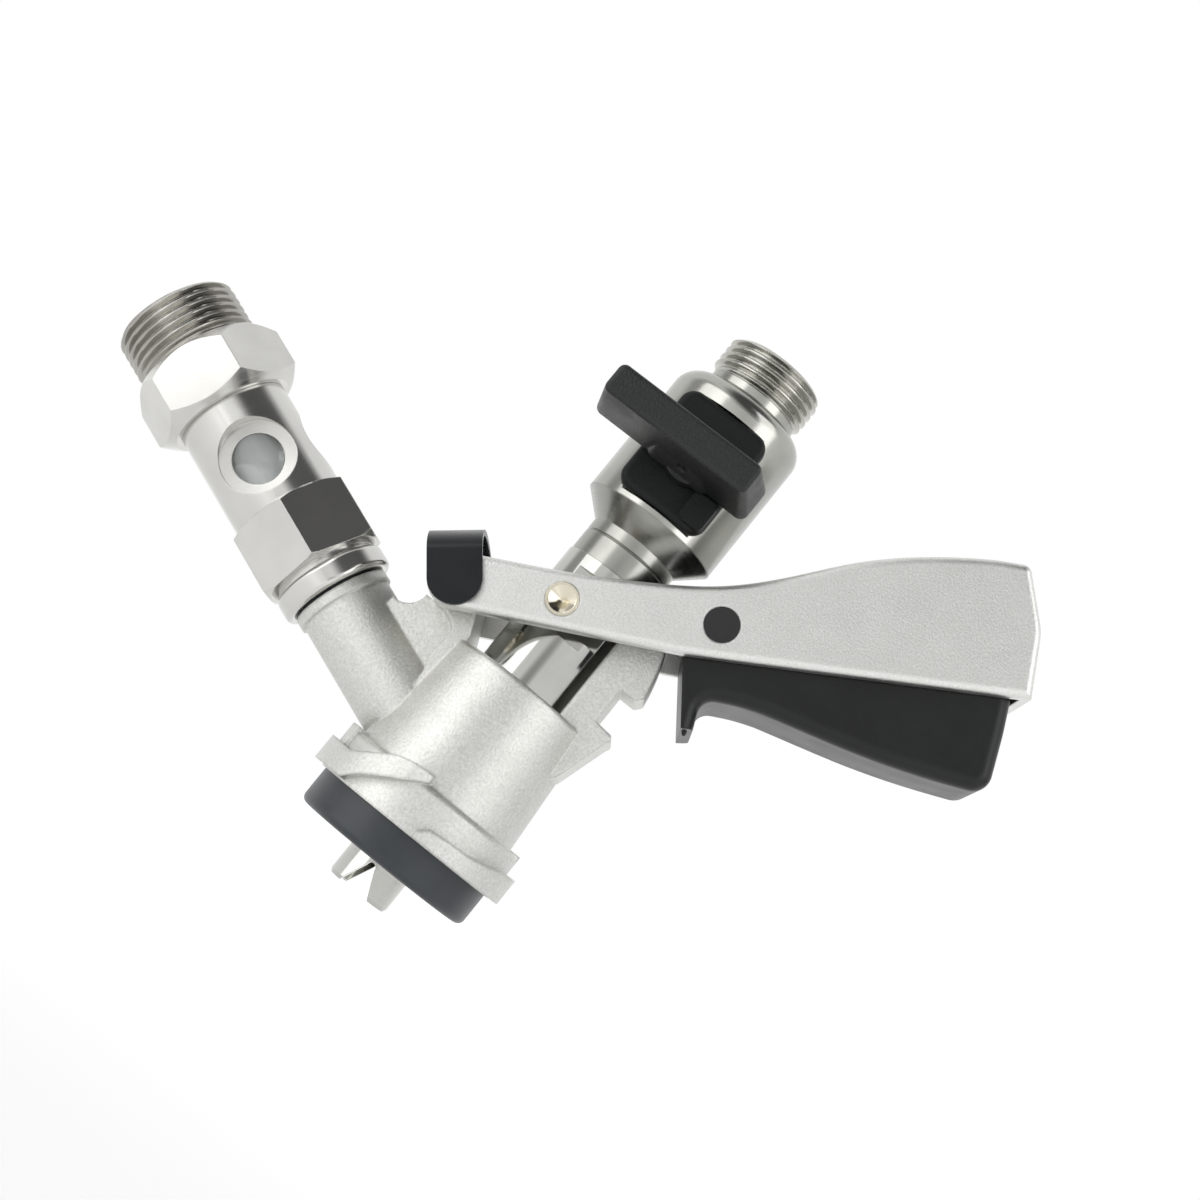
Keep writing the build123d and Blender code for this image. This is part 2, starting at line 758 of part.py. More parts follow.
handle_low_w = -3.8
handle_high_w = 22.7
with BuildPart() as lever:
    with BuildSketch(lever_plane):
        with BuildLine():
            crown = Spline(
                (0, arm_half_h),
                (20.0, 5.4),
                (36.0, 6.0),
                (51.0, 7.7),
                (66.9, 12.9),
                (76.8, 17.0),
                (89.7, 20.6),
                (102.8, 22.5),
                (107.5, handle_high_w),
                tangents=((1, 0), (1, 0)),
            )
            back_edge = FilletPolyline(
                crown @ 1,
                (handle_end_u - 3.7, handle_high_w),
                (handle_end_u + 0.2, 9.9),
                (handle_end_u, handle_low_w),
                radius=[1.9, 12.0],
            )
            Polyline(back_edge @ 1, (101.0, -4.5), (75.0, -5.7), (trigger_front_u, -6.9), (0, -arm_half_h))
            ThreePointArc((0, -arm_half_h), (-arm_half_h, 0), (0, arm_half_h))
        make_face()
    extrude(amount=fork_half_out, both=True)
    side_edges = lever.edges().filter_by(lambda e: abs(abs(e.center().Y) - fork_half_out) < 0.01)
    fillet(side_edges.filter_by(lambda e: lever_plane.to_local_coords(e.center()).Y > 0.5), 1.6)

    # fork gap, open above and below, and the handle's hollow under its roof
    with BuildSketch(lever_plane):
        with BuildLine():
            Polyline(
                (-arm_half_h - 1, -30),
                (handle_end_u - handle_wall, -30),
                (handle_end_u - handle_wall, 8.0),
                (handle_end_u - handle_wall - 3.2, handle_high_w - roof_thickness - 0.4),
                (102.8, 22.5 - roof_thickness),
                (89.7, 20.5 - roof_thickness),
                (76.8, 16.9 - roof_thickness),
                (66.9, 12.6 - roof_thickness),
                (56.8, 9.1 - roof_thickness),
                (roof_start_u, 7.8 - roof_thickness),
                (roof_start_u, 40),
                (-arm_half_h - 1, 40),
                close=True,
            )
        make_face()
    extrude(amount=fork_half_in, both=True, mode=Mode.SUBTRACT)

    # pin holes
    with BuildSketch(lever_plane):
        Circle(hinge_pin_r + running_gap)
        with Locations((drive_pin_u, drive_pin_w)):
            Circle(drive_head_r + seat_gap)
        with Locations((trigger_pin_u, 0)):
            Circle(trigger_pin_r + seat_gap)
    extrude(amount=fork_half_out + 1.0, both=True, mode=Mode.SUBTRACT)
save(lever, "lever")

# Drive pins, one from each arm, with cupped heads
for node, side in (("drive_pin_front", -1), ("drive_pin_back", 1)):
    with BuildPart() as drive_pin:
        with BuildSketch(front_plane(side * fork_half_in)):
            with Locations((pin_x, pin_z)):
                Circle(drive_head_r)
        extrude(amount=-side * (arm_thickness + 0.15))
        with BuildSketch(front_plane(side * (slot_depth_y + 0.3))):
            with Locations((pin_x, pin_z)):
                Circle(drive_pin_r)
        extrude(amount=-side * (fork_half_in - slot_depth_y - 0.3))
        with BuildSketch(front_plane(side * (fork_half_out + 0.16))):
            with Locations((pin_x, pin_z)):
                Circle(drive_head_r - 0.6)
        extrude(amount=side * 1.8, taper=54, mode=Mode.SUBTRACT)
    save(drive_pin, node)

# Trigger pin
with BuildPart() as trigger_pin:
    with BuildSketch(lever_plane):
        with Locations((trigger_pin_u, 0)):
            Circle(trigger_pin_r)
    extrude(amount=fork_half_out + 0.1, both=True)
save(trigger_pin, "trigger_pin")

# Trigger: grip, finger hook and latch nose in one moulding
grip_end_u = 112.5
grip_end_w = 0.5
nose_u = fin_arc_r + latch_gap
with BuildPart() as trigger:
    with BuildSketch(lever_plane):
        with BuildLine():
            front = Polyline(
                (60.0, 5.0),
                (49.2, 5.0),
                (trigger_front_u, 3.0),
                (trigger_front_u, -6.9),
                (48.8, -20.9),
                (51.3, -20.7),
            )
            belly = FilletPolyline(
                front @ 1,
                (51.9, -14.4),
                (61.0, -14.4),
                (90.0, -21.3),
                (110.2, -23.3),
                (111.7, -10.8),
                (grip_end_u, grip_end_w),
                radius=[3.2, 45.0, 190.0, 4.0, 40.0],
            )
            Line(belly @ 1, (60.0, 5.0))
        make_face()
    extrude(amount=trigger_half, both=True)
    side_edges = trigger.edges().filter_by(lambda e: abs(abs(e.center().Y) - trigger_half) < 0.01)
    belly_edges = side_edges.filter_by(lambda e: lever_plane.to_local_coords(e.center()).X > 52)
    fillet(belly_edges.filter_by(lambda e: lever_plane.to_local_coords(e.center()).Y < 0), trigger_edge)
    with BuildSketch(lever_plane):
        with BuildLine():
            Polyline(
                (58.4, 12.0),
                (58.4, -14.0 + trigger_wall),
                (72.0, -16.6 + trigger_wall),
                (90.0, -20.5 + trigger_wall),
                (107.5, -22.6 + trigger_wall),
                (109.2, -11.0),
                (grip_end_u - trigger_wall - 0.2, grip_end_w),
                (grip_end_u - trigger_wall - 0.2, 12.0),
                close=True,
            )
        make_face()
    extrude(amount=trigger_half - trigger_wall, both=True, mode=Mode.SUBTRACT)
    with BuildSketch(lever_plane):
        with BuildLine():
            Polyline(
                (trigger_front_u + 1.0, 0.5),
                (nose_u + 1.2, 0.5),
                (nose_u, -0.6),
                (nose_u, -2.4),
                (trigger_front_u + 1.0, -5.5),
                close=True,
            )
        make_face()
    extrude(amount=fin_half - 0.4, both=True)
    with BuildSketch(lever_plane):
        with Locations((trigger_pin_u, 0)):
            Circle(trigger_pin_r + running_gap)
    extrude(amount=trigger_half + 1.0, both=True, mode=Mode.SUBTRACT)

    # pocket for the spring, open towards the roof and the hollow
    with BuildSketch(lever_plane.offset(spring_side_y)):
        with BuildLine():
            Polyline(
                (trigger_pin_u - spring_pocket_r, 12.0),
                (trigger_pin_u - spring_pocket_r, -spring_pocket_r),
                (60.0, -spring_pocket_r),
                (60.0, 12.0),
                close=True,
            )
        make_face()
    extrude(amount=spring_len + 2 * spring_side_gap, mode=Mode.SUBTRACT)
save(trigger, "trigger")


def coil(r_in, wire, turns, start, length):
    """Half section of a spring's coils and the thin core that joins them."""
    pitch = length / turns
    ring(r_in + wire * 0.3, r_in + wire * 0.7, start, start + length)
    with Locations(*[(r_in + wire / 2, start + pitch * (count + 0.5)) for count in range(turns)]):
        Circle(wire / 2)


# Trigger spring: coils round the pin and the leg that bears on the roof
spring_y = spring_side_y + spring_side_gap
spring_root = lever_plane.from_local_coords((trigger_pin_u, 0, spring_y))
spring_section = Plane(origin=spring_root, x_dir=lever_plane.x_dir, z_dir=-lever_plane.y_dir)
leg_start = lever_plane.from_local_coords(
    (trigger_pin_u, trigger_pin_r + running_gap + spring_wire / 2, spring_y + spring_len - spring_wire / 2)
)
leg_dir = Vector(1, 0, 0).rotate(Axis.Y, -lever_angle - spring_leg_slope)
with BuildPart() as trigger_spring:
    with BuildSketch(spring_section):
        coil(trigger_pin_r + running_gap, spring_wire, 4, 0, spring_len)
    revolve(axis=Axis(spring_root, (0, -1, 0)))
    with BuildSketch(Plane(origin=leg_start, x_dir=(0, 1, 0), z_dir=leg_dir)):
        Circle(spring_wire / 2)
    extrude(amount=spring_leg_len)
save(trigger_spring, "trigger_spring")

# Hinge cap: two tongues and the arched strap between them
cap_turn = radians(lever_angle + cap_tilt)
cap_up = Vector(cos(cap_turn), 0, sin(cap_turn))
cap_out = fork_half_out + cap_wall
cap_reach = 2 * (cap_bend + cap_rise)
cap_section = Plane(origin=(hinge_x, 0, hinge_z), x_dir=(0, 1, 0), z_dir=Vector(0, 1, 0).cross(cap_up))
with BuildPart() as hinge_cap:
    with BuildSketch(cap_section):
        with Locations((0, cap_bend)):
            Ellipse(cap_out, cap_rise)
            Ellipse(fork_half_out, cap_rise - cap_wall, mode=Mode.SUBTRACT)
            with Locations((0, -cap_out)):
                Rectangle(3 * cap_out, 2 * cap_out, mode=Mode.SUBTRACT)
        with Locations(((fork_half_out + cap_out) / 2, 0), (-(fork_half_out + cap_out) / 2, 0)):
            Rectangle(cap_wall, 2 * cap_bend)
    extrude(amount=cap_r, both=True)
    with BuildSketch(lever_plane):
        Circle(cap_r)
        with Locations(Location((0, 0, 0), (0, 0, cap_tilt))):
            with Locations((cap_reach / 2, 0)):
                Rectangle(cap_reach, 2 * cap_r)
    extrude(amount=cap_out + 1.0, both=True, mode=Mode.INTERSECT)
save(hinge_cap, "hinge_cap")

# Gas inlet
collar_start = branch_end + washer_len
collar_end = collar_start + collar_len
with BuildPart() as gas_washer:
    with BuildSketch(gas_section):
        ring(gas_spigot_r + seat_gap, washer_r, branch_end, collar_start)
    revolve(axis=gas_axis)
save(gas_washer, "gas_washer")

with BuildPart() as gas_collar:
    with BuildSketch(gas_section):
        ring(gas_spigot_r + seat_gap, collar_r, collar_start, collar_end)
    revolve(axis=gas_axis)
    fillet(gas_collar.edges().filter_by(lambda e: e.length > 2 * pi * collar_r - 0.1), 1.2)
save(gas_collar, "gas_collar")


def hex_bar(across, turn, start, foot_r, foot_len, end, shoulder_r, shoulder_len):
    """Hexagon along the gas axis, its corners turned off by a cone at each end."""
    corner = across / sqrt(3)
    with BuildPart() as bar:
        with BuildSketch(gas_plane(start, turn)):
            RegularPolygon(corner, 6)
        extrude(amount=end - start)
        with BuildSketch(gas_section):
            with BuildLine():
                Polyline(
                    (0, start),
                    (foot_r, start),
                    (corner, start + foot_len),
                    (corner, end - shoulder_len),
                    (shoulder_r, end),
                    (0, end),
                    close=True,
                )
            make_face()
        revolve(axis=gas_axis, mode=Mode.INTERSECT)
    return bar.part


glass_low = window_at - glass_len / 2
glass_high = window_at + glass_len / 2
sight_floor = glass_low - gas_seal_len
glass_out_r = sight_bore_r - seat_gap
lower_face_r = 0.97 * lower_hex_af / 2
lower_slope = (lower_hex_af / sqrt(3) - lower_face_r) * tan(radians(30))
lower_hex = hex_bar(
    lower_hex_af, lower_hex_turn, hex_start, lower_face_r, lower_slope, hex_end, lower_face_r, lower_slope
)
with BuildPart() as sight_body:
    add(lower_hex)
    with BuildSketch(gas_section):
        ring(0, gas_spigot_r, branch_end - gas_spigot_len + 0.3, hex_start + 1.0)
        ring(0, lower_neck_r, collar_end, hex_start + 1.0)
        ring(0, sight_r, hex_end, barrel_end)
    revolve(axis=gas_axis)
    with BuildSketch(gas_section):
        ring(0, gas_bore_r, branch_end - gas_spigot_len, sight_floor)
        ring(0, sight_bore_r, sight_floor, barrel_end + 1.0)
    revolve(axis=gas_axis, mode=Mode.SUBTRACT)
    for count in range(3):
        window_dir = gas_plane(0).x_dir.rotate(gas_axis, window_step_deg * count)
        window_place = Plane(origin=gas_plane(window_at).origin, x_dir=gas_dir, z_dir=window_dir)
        face_low_h = window_floor_h + window_floor_rise
        with BuildSketch(window_place.offset(window_floor_h - 4.0)):
            Circle(window_r)
        extrude(amount=8.0, mode=Mode.SUBTRACT)
        with Locations(window_place.offset(window_floor_h + window_floor_rise / 2).location):
            Cone(window_r, window_face_r, window_floor_rise, mode=Mode.SUBTRACT)
        with BuildSketch(window_place.offset(face_low_h)):
            Circle(window_face_r)
        extrude(amount=sight_r, mode=Mode.SUBTRACT)
save(sight_body, "sight_body")

with BuildPart() as sight_glass:
    with BuildSketch(gas_section):
        ring(glass_out_r - glass_wall, glass_out_r, glass_low, glass_high)
    revolve(axis=gas_axis)
save(sight_glass, "sight_glass")

for node, low in (("sight_seal_lower", sight_floor), ("sight_seal_upper", glass_high)):
    with BuildPart() as sight_seal:
        with BuildSketch(gas_section):
            ring(gas_seal_r, glass_out_r, low, low + gas_seal_len)
        revolve(axis=gas_axis)
    save(sight_seal, node)

# Inlet nipple with the check valve's cage
plug_low = glass_high + gas_seal_len
thread_start = upper_hex_end + gas_neck_len
bore_step = check_seat_at + check_seat_h
upper_hex = hex_bar(
    upper_hex_af,
    upper_hex_turn,
    barrel_end,
    upper_hex_foot_r,
    upper_hex_foot_len,
    upper_hex_end,
    upper_hex_shoulder_r,
    upper_hex_shoulder_len,
)
with BuildPart() as gas_nipple:
    add(upper_hex)
    with BuildSketch(gas_section):
        ring(0, glass_out_r, plug_low, barrel_end + 1.0)
        ring(0, gas_neck_r, upper_hex_end - 1.0, thread_start + 1.0)
        with BuildLine():
            Polyline(
                (0, thread_start),
                (gas_neck_r, thread_start),
                (gas_thread_r, thread_start + 0.7),
                (gas_thread_r, gas_end - 1.0),
                (gas_thread_r - 1.0, gas_end),
                (0, gas_end),
                close=True,
            )
        make_face()
    revolve(axis=gas_axis)
    with BuildSketch(gas_section):
        ring(0, check_pocket_r, spider_top, bore_step)
        ring(0, inlet_bore_r, bore_step, gas_end + 1.0)
        ring(0, nipple_bore_r, plug_low - 1.0, spider_low)
    revolve(axis=gas_axis, mode=Mode.SUBTRACT)
    with BuildSketch(gas_plane(spider_low - 1.0)):
        Circle(poppet_stem_r + running_gap)
        with PolarLocations(spider_port_at, 4):
            Circle(spider_port_r)
    extrude(amount=spider_top - spider_low + 2.0, mode=Mode.SUBTRACT)
save(gas_nipple, "gas_nipple")

with BuildPart() as gas_check_seat:
    with BuildSketch(gas_section):
        ring(check_seat_r, check_pocket_r - seat_gap, check_seat_at, bore_step)
    revolve(axis=gas_axis)
save(gas_check_seat, "gas_check_seat")

poppet_top = check_seat_at - running_gap
poppet_low = poppet_top - poppet_h
with BuildPart() as gas_check_poppet:
    with BuildSketch(gas_section):
        ring(0, poppet_stem_r, spider_low - 1.5, poppet_low + 0.5)
        ring(0, poppet_r, poppet_low, poppet_top)
    revolve(axis=gas_axis)
save(gas_check_poppet, "gas_check_poppet")

check_spring_len = poppet_low - spider_top - 2 * running_gap
with BuildPart() as gas_check_spring:
    with BuildSketch(gas_section):
        coil(poppet_stem_r + 0.3, spring_wire, 6, spider_top + running_gap, check_spring_len)
    revolve(axis=gas_axis)
save(gas_check_spring, "gas_check_spring")
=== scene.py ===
from math import cos, pi, radians, sin

import bmesh
import bpy
from mathutils import Matrix, Vector


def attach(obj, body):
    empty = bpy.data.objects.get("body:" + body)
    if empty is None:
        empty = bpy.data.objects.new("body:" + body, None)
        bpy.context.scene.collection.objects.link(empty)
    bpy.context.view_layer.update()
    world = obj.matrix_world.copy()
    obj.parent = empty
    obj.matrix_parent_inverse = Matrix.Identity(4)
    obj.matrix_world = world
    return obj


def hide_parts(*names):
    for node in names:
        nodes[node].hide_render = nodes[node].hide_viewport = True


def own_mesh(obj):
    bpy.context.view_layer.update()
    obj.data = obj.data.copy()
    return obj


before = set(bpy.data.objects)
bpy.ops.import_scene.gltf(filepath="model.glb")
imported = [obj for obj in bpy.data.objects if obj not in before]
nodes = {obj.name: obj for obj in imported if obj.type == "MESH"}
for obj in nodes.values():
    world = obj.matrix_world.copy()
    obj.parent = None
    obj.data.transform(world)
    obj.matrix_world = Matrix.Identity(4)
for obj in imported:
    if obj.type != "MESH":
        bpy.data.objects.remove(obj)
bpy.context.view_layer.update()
MM = 0.001
X_AXIS = Vector((1, 0, 0))
Z_AXIS = Vector((0, 0, 1))
FRONT = Vector((0, -1, 0))

# The gas way's axis and the lever's own directions at rest
gas_angle = radians(20.2)
gas_dir = Vector((-cos(gas_angle), 0.0, sin(gas_angle)))
gas_root = Vector((0.0, 0.0, 13.7)) * MM
lever_angle = radians(28.4)
lever_along = Vector((cos(lever_angle), 0.0, sin(lever_angle)))
lever_over = Vector((-lever_along.z, 0.0, lever_along.x))
hinge = Vector((-21.9, 0.0, 44.5))

# Camera: the photograph's angle, roll and field of view
cam_azimuth = radians(6.89)
cam_elevation = radians(-8.53)
cam_roll = radians(39.05)
cam_target = Vector((1.14, 0.0, 61.4)) * MM
cam_distance = 390.57 * MM
back = Vector((
    sin(cam_azimuth) * cos(cam_elevation),
    -cos(cam_azimuth) * cos(cam_elevation),
    sin(cam_elevation),
))
level_right = (-back).cross(Vector((0, 0, 1))).normalized()
level_up = level_right.cross(-back)
right = cos(cam_roll) * level_right + sin(cam_roll) * level_up
up = right.cross(-back)
camera = bpy.data.objects.new("camera", bpy.data.cameras.new("camera"))
camera.data.lens = 57.0
camera.data.sensor_width = 36.0
camera.data.clip_start = 0.01
camera.data.clip_end = 50.0
camera_turn = Matrix((right, up, back)).transposed().to_4x4()
camera.matrix_world = Matrix.Translation(cam_target + cam_distance * back) @ camera_turn
bpy.context.scene.collection.objects.link(camera)
bpy.context.scene.camera = camera


# Materials
def new_material(name, base, roughness, metallic=0.0):
    mat = bpy.data.materials.new(name)
    mat.use_nodes = True
    shader = mat.node_tree.nodes["Principled BSDF"]
    shader.inputs["Base Color"].default_value = (*base, 1.0)
    shader.inputs["Roughness"].default_value = roughness
    shader.inputs["Metallic"].default_value = metallic
    return mat, mat.node_tree.nodes, mat.node_tree.links, shader


def add_noise(tree_nodes, links, vector, scale, detail=3.0, roughness=0.5):
    noise = tree_nodes.new("ShaderNodeTexNoise")
    noise.inputs["Scale"].default_value = scale
    noise.inputs["Detail"].default_value = detail
    noise.inputs["Roughness"].default_value = roughness
    links.new(vector, noise.inputs["Vector"])
    return noise.outputs["Fac"]


def add_ramp(tree_nodes, links, value, low_stop, high_stop):
    ramp = tree_nodes.new("ShaderNodeValToRGB")
    for element, (position, color) in zip(ramp.color_ramp.elements, (low_stop, high_stop)):
        element.position = position
        element.color = (*color, 1.0)
    links.new(value, ramp.inputs["Fac"])
    return ramp.outputs["Color"]


def add_range(tree_nodes, links, value, low, high):
    spread = tree_nodes.new("ShaderNodeMapRange")
    spread.inputs["From Min"].default_value = 0.3
    spread.inputs["From Max"].default_value = 0.7
    spread.inputs["To Min"].default_value = low
    spread.inputs["To Max"].default_value = high
    links.new(value, spread.inputs["Value"])
    return spread.outputs["Result"]


def add_bump(tree_nodes, links, height, normal, strength, distance):
    bump = tree_nodes.new("ShaderNodeBump")
    bump.inputs["Strength"].default_value = strength
    bump.inputs["Distance"].default_value = distance
    links.new(height, bump.inputs["Height"])
    links.new(normal, bump.inputs["Normal"])
    return bump.outputs["Normal"]


def soft_edges(tree_nodes, radius):
    bevel = tree_nodes.new("ShaderNodeBevel")
    bevel.samples = 4
    bevel.inputs["Radius"].default_value = radius
    return bevel.outputs["Normal"]


def object_space(tree_nodes):
    return tree_nodes.new("ShaderNodeTexCoord").outputs["Object"]


def any_ray(tree_nodes, links, kinds):
    """One where a ray is of any of these kinds, and zero elsewhere."""
    path = tree_nodes.new("ShaderNodeLightPath")
    found = path.outputs[kinds[0]]
    for kind in kinds[1:]:
        either = tree_nodes.new("ShaderNodeMath")
        either.operation = "MAXIMUM"
        links.new(found, either.inputs[0])
        links.new(path.outputs[kind], either.inputs[1])
        found = either.outputs["Value"]
    return found


def grained(name, low, high, roughness, metallic, grain, grain_depth,
            edge=0.0003, speckle=False, specular=0.5):
    """Surface with a fine grain, a slow change of tone and softened edges."""
    mat, tree_nodes, links, shader = new_material(name, low, roughness[0], metallic)
    space = object_space(tree_nodes)
    slow = add_noise(tree_nodes, links, space, 120.0, 4.0, 0.6)
    fine = add_noise(tree_nodes, links, space, grain, 3.0, 0.6)
    tone = add_ramp(tree_nodes, links, fine if speckle else slow, (0.3, low), (0.7, high))
    links.new(tone, shader.inputs["Base Color"])
    links.new(add_range(tree_nodes, links, slow, *roughness), shader.inputs["Roughness"])
    bump = add_bump(tree_nodes, links, fine, soft_edges(tree_nodes, edge), 0.6, grain_depth)
    links.new(bump, shader.inputs["Normal"])
    shader.inputs["Specular IOR Level"].default_value = specular
    return mat


def turned(name, axis, low, high, roughness):
    """Lathe-turned metal: fine rings about an axis, in gloss and relief, with a slow change of tone."""
    mat, tree_nodes, links, shader = new_material(name, low, roughness[0], 1.0)
    space = object_space(tree_nodes)
    along = tree_nodes.new("ShaderNodeVectorMath")
    along.operation = "DOT_PRODUCT"
    along.inputs[1].default_value = axis
    links.new(space, along.inputs[0])
    rings = tree_nodes.new("ShaderNodeTexNoise")
    rings.noise_dimensions = "1D"
    rings.inputs["Scale"].default_value = 4200.0
    rings.inputs["Detail"].default_value = 2.0
    links.new(along.outputs["Value"], rings.inputs["W"])
    slow = add_noise(tree_nodes, links, space, 90.0, 3.0)
    tone = add_ramp(tree_nodes, links, slow, (0.35, low), (0.65, high))
    links.new(tone, shader.inputs["Base Color"])
    links.new(add_range(tree_nodes, links, rings.outputs["Fac"], *roughness), shader.inputs["Roughness"])
    edges = soft_edges(tree_nodes, 0.00025)
    bump = add_bump(tree_nodes, links, rings.outputs["Fac"], edges, 0.35, 0.000004)
    links.new(bump, shader.inputs["Normal"])
    shader.inputs["Anisotropic"].default_value = 0.4
    return mat


cast_steel = grained("cast_steel", (0.56, 0.56, 0.535), (0.73, 0.73, 0.70), (0.42, 0.52),
                     1.0, 1900.0, 0.00016, edge=0.0009, speckle=True)
lever_steel = grained("lever_steel", (0.64, 0.64, 0.615), (0.79, 0.79, 0.77), (0.34, 0.42),
                      1.0, 2300.0, 0.00011, edge=0.0006, speckle=True)
probe_steel = turned("probe_steel", (0, 0, 1), (0.46, 0.46, 0.435), (0.51, 0.51, 0.485), (0.07, 0.13))
# The valve adapter's steel is a darker copy of the valve steel. Its base colour is lowered to take down a
# lamp highlight on the neck, so this is painted shade.
shaded_neck_steel = turned("shaded_neck_steel", (0, 0, 1), (0.31, 0.31, 0.29), (0.36, 0.36, 0.335), (0.18, 0.26))
valve_steel = turned("valve_steel", (0, 0, 1), (0.38, 0.38, 0.355), (0.44, 0.44, 0.41), (0.14, 0.22))
outlet_steel = turned("outlet_steel", (0, 0, 1), (0.41, 0.405, 0.375), (0.49, 0.485, 0.45), (0.12, 0.2))
gas_steel = turned("gas_steel", tuple(gas_dir), (0.58, 0.575, 0.55), (0.63, 0.625, 0.60), (0.16, 0.24))
inlet_steel = turned("inlet_steel", tuple(gas_dir), (0.36, 0.35, 0.325), (0.44, 0.43, 0.40), (0.16, 0.24))
pin_steel = turned("pin_steel", (0, 1, 0), (0.68, 0.63, 0.50), (0.74, 0.70, 0.59), (0.10, 0.16))
spring_steel = grained("spring_steel", (0.4, 0.4, 0.4), (0.5, 0.5, 0.5), (0.28, 0.36),
                       1.0, 3000.0, 0.00002)
knob_plastic = grained("knob_plastic", (0.004, 0.005, 0.005), (0.012, 0.013, 0.013), (0.34, 0.50),
                       0.0, 2400.0, 0.00026, edge=0.0006, speckle=True, specular=0.45)
plate_plastic = grained("plate_plastic", (0.003, 0.004, 0.004), (0.007, 0.008, 0.008), (0.44, 0.56),
                        0.0, 2400.0, 0.00010, edge=0.0006, speckle=True, specular=0.25)
trigger_plastic = grained("trigger_plastic", (0.005, 0.0055, 0.0055), (0.008, 0.009, 0.009), (0.33, 0.40),
                          0.0, 2600.0, 0.00006, edge=0.0008, specular=0.35)
cap_plastic = grained("cap_plastic", (0.005, 0.0065, 0.008), (0.009, 0.011, 0.013), (0.24, 0.32),
                      0.0, 2400.0, 0.00003, specular=0.3)
pin_plastic = grained("pin_plastic", (0.008, 0.008, 0.008), (0.013, 0.013, 0.013), (0.4, 0.5),
                      0.0, 2600.0, 0.00006)
seal_rubber = grained("seal_rubber", (0.030, 0.036, 0.042), (0.042, 0.049, 0.055), (0.34, 0.44),
                      0.0, 1800.0, 0.00003)
white_plastic = grained("white_plastic", (0.72, 0.71, 0.68), (0.8, 0.79, 0.76), (0.4, 0.5),
                        0.0, 1500.0, 0.00003)
sight_glass = grained("sight_glass", (0.84, 0.87, 0.86), (0.88, 0.91, 0.90), (0.05, 0.09),
                      0.0, 600.0, 0.00001, edge=0.0002)
glass_shader = sight_glass.node_tree.nodes["Principled BSDF"]
glass_shader.inputs["Transmission Weight"].default_value = 0.62
glass_shader.inputs["IOR"].default_value = 1.46

node_materials = {
    "coupler_body": cast_steel,
    "upper_seal": seal_rubber,
    "body_seal": seal_rubber,
    "probe": probe_steel,
    "probe_lip_seal": seal_rubber,
    "check_ball": probe_steel,
    "ball_stop": white_plastic,
    "valve_adapter": shaded_neck_steel,
    "valve_body": valve_steel,
    "outlet_nipple": valve_steel,
    "lower_ball_seat": white_plastic,
    "upper_ball_seat": white_plastic,
    "valve_ball": probe_steel,
    "valve_stem": pin_steel,
    "stem_seal": seal_rubber,
    "knob_plate": plate_plastic,
    "valve_knob": knob_plastic,
    "knob_pin": pin_steel,
    "hinge_pin": pin_steel,
    "lever": lever_steel,
    "drive_pin_front": pin_steel,
    "drive_pin_back": pin_steel,
    "trigger_pin": pin_plastic,
    "trigger": trigger_plastic,
    "trigger_spring": spring_steel,
    "hinge_cap": cap_plastic,
    "gas_washer": seal_rubber,
    "gas_collar": gas_steel,
    "sight_body": gas_steel,
    "sight_glass": sight_glass,
    "sight_seal_lower": seal_rubber,
    "sight_seal_upper": seal_rubber,
    "gas_nipple": gas_steel,
    "gas_check_seat": white_plastic,
    "gas_check_poppet": white_plastic,
    "gas_check_spring": spring_steel,
}
for name, node in nodes.items():
    node.data.materials.clear()
    node.data.materials.append(node_materials[name])


# Turned and threaded pieces
def mark_sharp(mesh, angle):
    """Smooth shading that breaks at edges sharper than the angle."""
    work = bmesh.new()
    work.from_mesh(mesh)
    for face in work.faces:
        face.smooth = True
    for edge in work.edges:
        edge.smooth = len(edge.link_faces) == 2 and edge.calc_face_angle() < radians(angle)
    work.to_mesh(mesh)
    work.free()


def link_piece(name, mesh):
    piece = bpy.data.objects.new(name, mesh)
    bpy.context.scene.collection.objects.link(piece)
    return piece


def ring_stack(name, origin, axis, side, rings, segments, materials, threaded):
    """Closed ring-shaped solid. Each ring gives a distance along the axis and a radius for each angle, in mm.

    The rings between the two threaded ones take the second material.
    """
    across = axis.cross(side)
    mesh = bpy.data.meshes.new(name)
    points = []
    for along, radius in rings:
        for count in range(segments):
            angle = 2 * pi * count / segments
            reach = radius(angle) * MM
            place = along(angle) if callable(along) else along
            centre = origin + axis * place * MM
            points.append(centre + side * reach * cos(angle) + across * reach * sin(angle))
    faces = []
    for row in range(len(rings)):
        other = (row + 1) % len(rings)
        for count in range(segments):
            following = (count + 1) % segments
            faces.append((row * segments + count, row * segments + following,
                          other * segments + following, other * segments + count))
    mesh.from_pydata(points, [], faces)
    for material in materials:
        mesh.materials.append(material)
    for row in range(*threaded):
        for count in range(segments):
            mesh.polygons[row * segments + count].material_index = 1
    work = bmesh.new()
    work.from_mesh(mesh)
    bmesh.ops.recalc_face_normals(work, faces=work.faces)
    work.to_mesh(mesh)
    work.free()
    mark_sharp(mesh, 32.0)
    return link_piece(name, mesh)


def plain(radius):
    return lambda angle: radius


def hexagon(across_flats, turn):
    """Radius of a hexagon with a corner at the turn."""
    def radius(angle):
        place = (angle - turn) % (pi / 3) - pi / 6
        return across_flats / 2 / cos(place)
    return radius


def hexagon_rings(across_flats, turn, start, foot_r, foot_len, end, shoulder_r, shoulder_len):
    """Rings of a hexagon whose corners are turned off by a cone at each end, with its curved edges."""
    corner = across_flats / 2 / cos(pi / 6)
    flat = hexagon(across_flats, turn)

    def foot(angle):
        return start + foot_len * (flat(angle) - foot_r) / (corner - foot_r)

    def shoulder(angle):
        return end - shoulder_len * (flat(angle) - shoulder_r) / (corner - shoulder_r)

    return [(start, plain(foot_r)), (foot, flat), (shoulder, flat), (end, plain(shoulder_r))]


